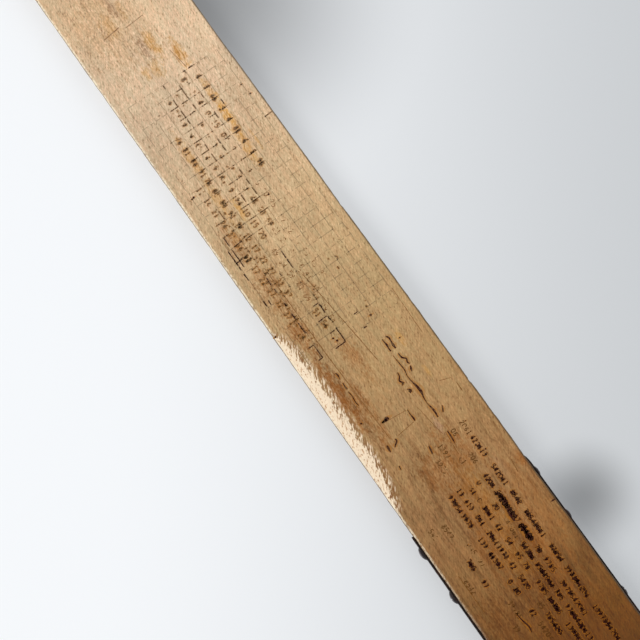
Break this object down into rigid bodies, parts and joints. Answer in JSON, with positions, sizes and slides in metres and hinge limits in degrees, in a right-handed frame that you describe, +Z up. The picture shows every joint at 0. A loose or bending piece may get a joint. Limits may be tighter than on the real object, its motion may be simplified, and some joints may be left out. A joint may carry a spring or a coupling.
{
  "type": "folding rule",
  "caption": "Flat wooden rule in equal legs that fold face to face on strap hinges screwed to the narrow edges.",
  "frame": {"origin": "under the joint, at the middle of the width, on the plane that the opened rule rests on", "axes": "+X along the opened rule from leg A to leg B, +Y across the width towards the back edge, +Z up out of the printed face"},
  "size_m": [0.6096, 0.0442, 0.0143],
  "materials": {
    "wood": "old oil and varnish, worn to a satin gloss",
    "dark_steel": "blackened, rubbed at the edges",
    "screw_steel": "dark, rubbed bright on the domes",
    "bright_steel": "turned",
    "brass": "dull, tarnished"
  },
  "bodies": {
    "leg_a_side": {"leg_a": "wood", "strap_a_front": "dark_steel", "strap_a_back": "dark_steel", "screws_a_front": "screw_steel", "screws_a_back": "screw_steel", "pivot_rivet_front": "screw_steel", "pivot_rivet_back": "screw_steel", "spacer_washer_front": "brass", "spacer_washer_back": "brass", "head_washer_front": "dark_steel", "head_washer_back": "dark_steel", "end_tip_a": "dark_steel", "tip_pins_a": "brass", "register_bush": "brass"},
    "leg_b_side": {"leg_b": "wood", "strap_b_front": "dark_steel", "strap_b_back": "dark_steel", "screws_b_front": "screw_steel", "screws_b_back": "screw_steel", "end_tip_b": "dark_steel", "tip_pins_b": "brass", "register_pin": "bright_steel"}
  },
  "joints": [
    {"name": "fold", "type": "hinge", "parent": "leg_a_side", "child": "leg_b_side", "pos_m": [0, 0, 0.00975], "axis": [0, -1, 0], "range_deg": [0, 180]}
  ]
}
